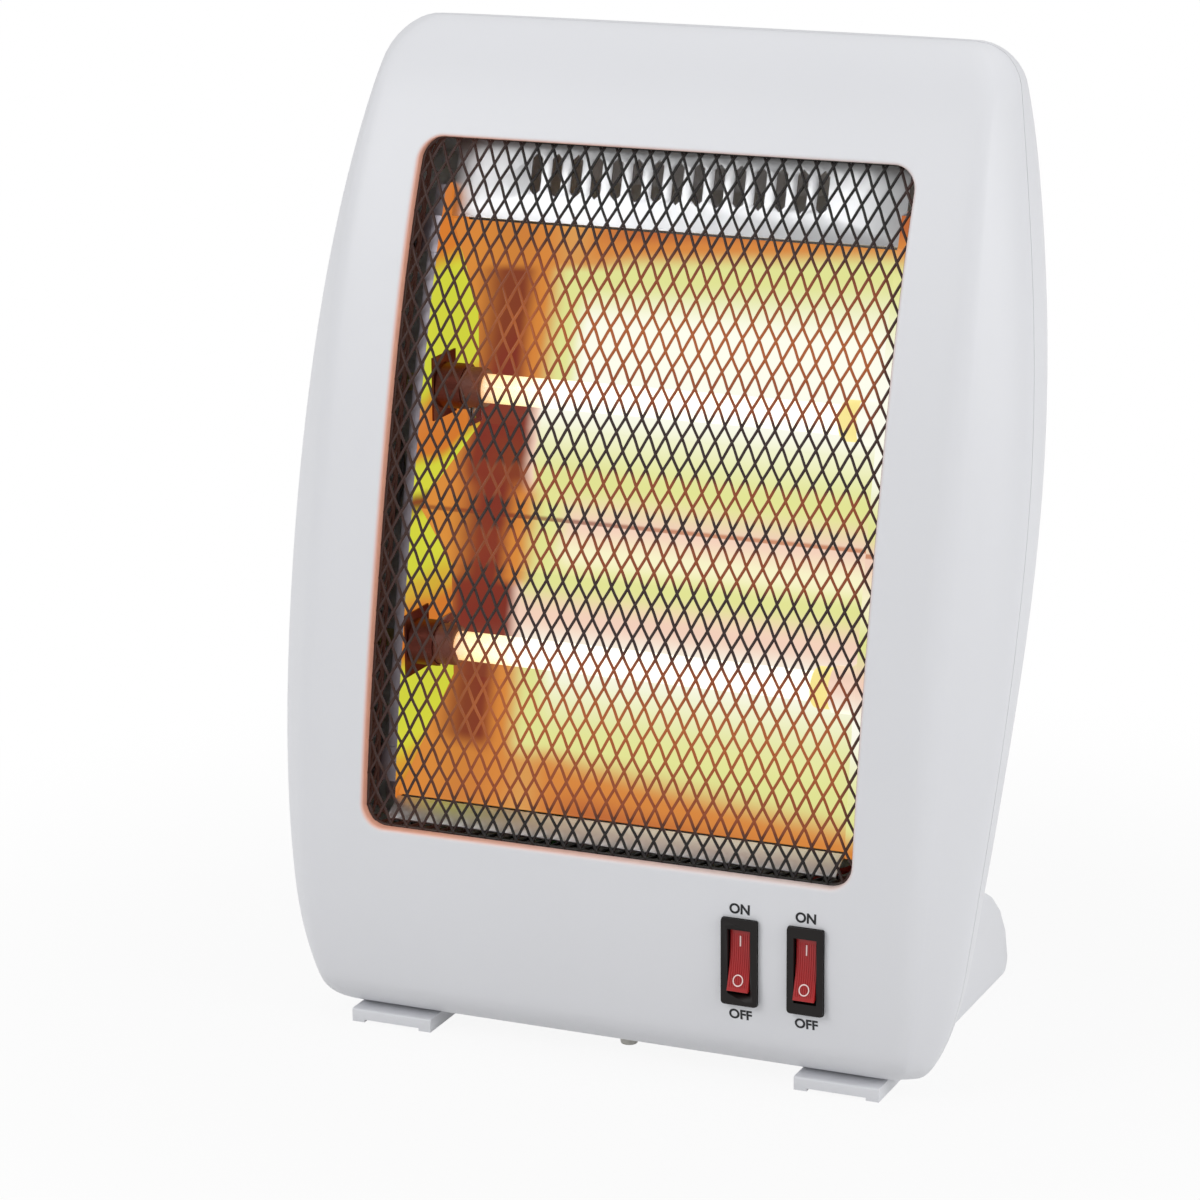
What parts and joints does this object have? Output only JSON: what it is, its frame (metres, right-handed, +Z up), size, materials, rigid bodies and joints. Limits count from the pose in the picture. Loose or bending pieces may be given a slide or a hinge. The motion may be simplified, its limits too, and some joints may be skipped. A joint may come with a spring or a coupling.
{
  "type": "electric bar heater",
  "caption": "Upright leaning quartz bar heater: moulded housing on moulded feet, woven guard, reflector, glowing bar elements and rocker switches.",
  "frame": {"origin": "centre of the bounding box's base, on the floor under the middle of the heater", "axes": "+Z up, the guarded front faces -Y, the rocker switches are towards +X"},
  "size_m": [0.2628, 0.145, 0.34],
  "materials": {
    "housing": "satin",
    "guard_wire": "satin black",
    "bright_sheet": "polished",
    "quartz": "clear",
    "resistance_wire": "oxidised, glowing in use",
    "ceramic": "unglazed",
    "spring_steel": "zinc plated",
    "terminal_brass": "tinned",
    "black_plastic": "satin",
    "rocker_red": "translucent",
    "plunger_white": "satin",
    "block_nylon": "satin",
    "lead_black": "glass-fibre sleeve",
    "lead_red": "glass-fibre sleeve",
    "lead_grey": "glass-fibre sleeve",
    "lead_green": "green and yellow sleeve"
  },
  "bodies": {
    "heater": {"front_shell": "housing", "rear_shell": "housing", "guard_mesh": "guard_wire", "reflector": "bright_sheet", "left_end_plate": "bright_sheet", "right_end_plate": "bright_sheet", "top_apron": "bright_sheet", "bottom_apron": "bright_sheet", "quartz_tube_lower": "quartz", "heating_coil_lower": "resistance_wire", "ceramic_cap_lower_left": "ceramic", "tube_clip_lower_left": "spring_steel", "element_terminal_lower_left": "terminal_brass", "ceramic_cap_lower_right": "ceramic", "tube_clip_lower_right": "spring_steel", "element_terminal_lower_right": "terminal_brass", "quartz_tube_upper": "quartz", "heating_coil_upper": "resistance_wire", "ceramic_cap_upper_left": "ceramic", "tube_clip_upper_left": "spring_steel", "element_terminal_upper_left": "terminal_brass", "ceramic_cap_upper_right": "ceramic", "tube_clip_upper_right": "spring_steel", "element_terminal_upper_right": "terminal_brass", "reflector_rivet_upper_left": "spring_steel", "reflector_rivet_upper_right": "spring_steel", "reflector_rivet_lower_left": "spring_steel", "reflector_rivet_lower_right": "spring_steel", "switch_body_left": "black_plastic", "switch_terminal_left_feed": "terminal_brass", "switch_terminal_left_load": "terminal_brass", "switch_body_right": "black_plastic", "switch_terminal_right_feed": "terminal_brass", "switch_terminal_right_load": "terminal_brass", "left_foot": "housing", "foot_screw_left": "spring_steel", "right_foot": "housing", "foot_screw_right": "spring_steel", "tip_switch_body": "black_plastic", "tip_switch_spring": "spring_steel", "cord_gland": "black_plastic", "terminal_block": "block_nylon", "shell_screw_lower_left": "spring_steel", "shell_screw_lower_right": "spring_steel", "shell_screw_upper_left": "spring_steel", "shell_screw_upper_right": "spring_steel", "lead_supply": "lead_black", "lead_tip_switch": "lead_black", "lead_switch_link": "lead_black", "lead_lower_element": "lead_red", "lead_upper_element": "lead_red", "lead_neutral_lower": "lead_grey", "lead_neutral_upper": "lead_grey", "lead_earth": "lead_green"},
    "left_rocker": {"rocker_left": "rocker_red"},
    "right_rocker": {"rocker_right": "rocker_red"},
    "plunger": {"tip_switch_plunger": "plunger_white"}
  },
  "joints": [
    {"name": "left_rocker_tilt", "type": "hinge", "parent": "heater", "child": "left_rocker", "pos_m": [0.0508, -0.0678, 0.0455], "axis": [1, 0, 0], "range_deg": [0, 20]},
    {"name": "right_rocker_tilt", "type": "hinge", "parent": "heater", "child": "right_rocker", "pos_m": [0.0741, -0.0678, 0.0455], "axis": [1, 0, 0], "range_deg": [0, 20]},
    {"name": "tip_plunger_slide", "type": "slide", "parent": "heater", "child": "plunger", "axis": [0, 0, 1], "range_m": [-0.005, 0], "stiffness_N_per_m": 150, "springref_m": -0.006, "deforming": ["tip_switch_spring"]}
  ]
}
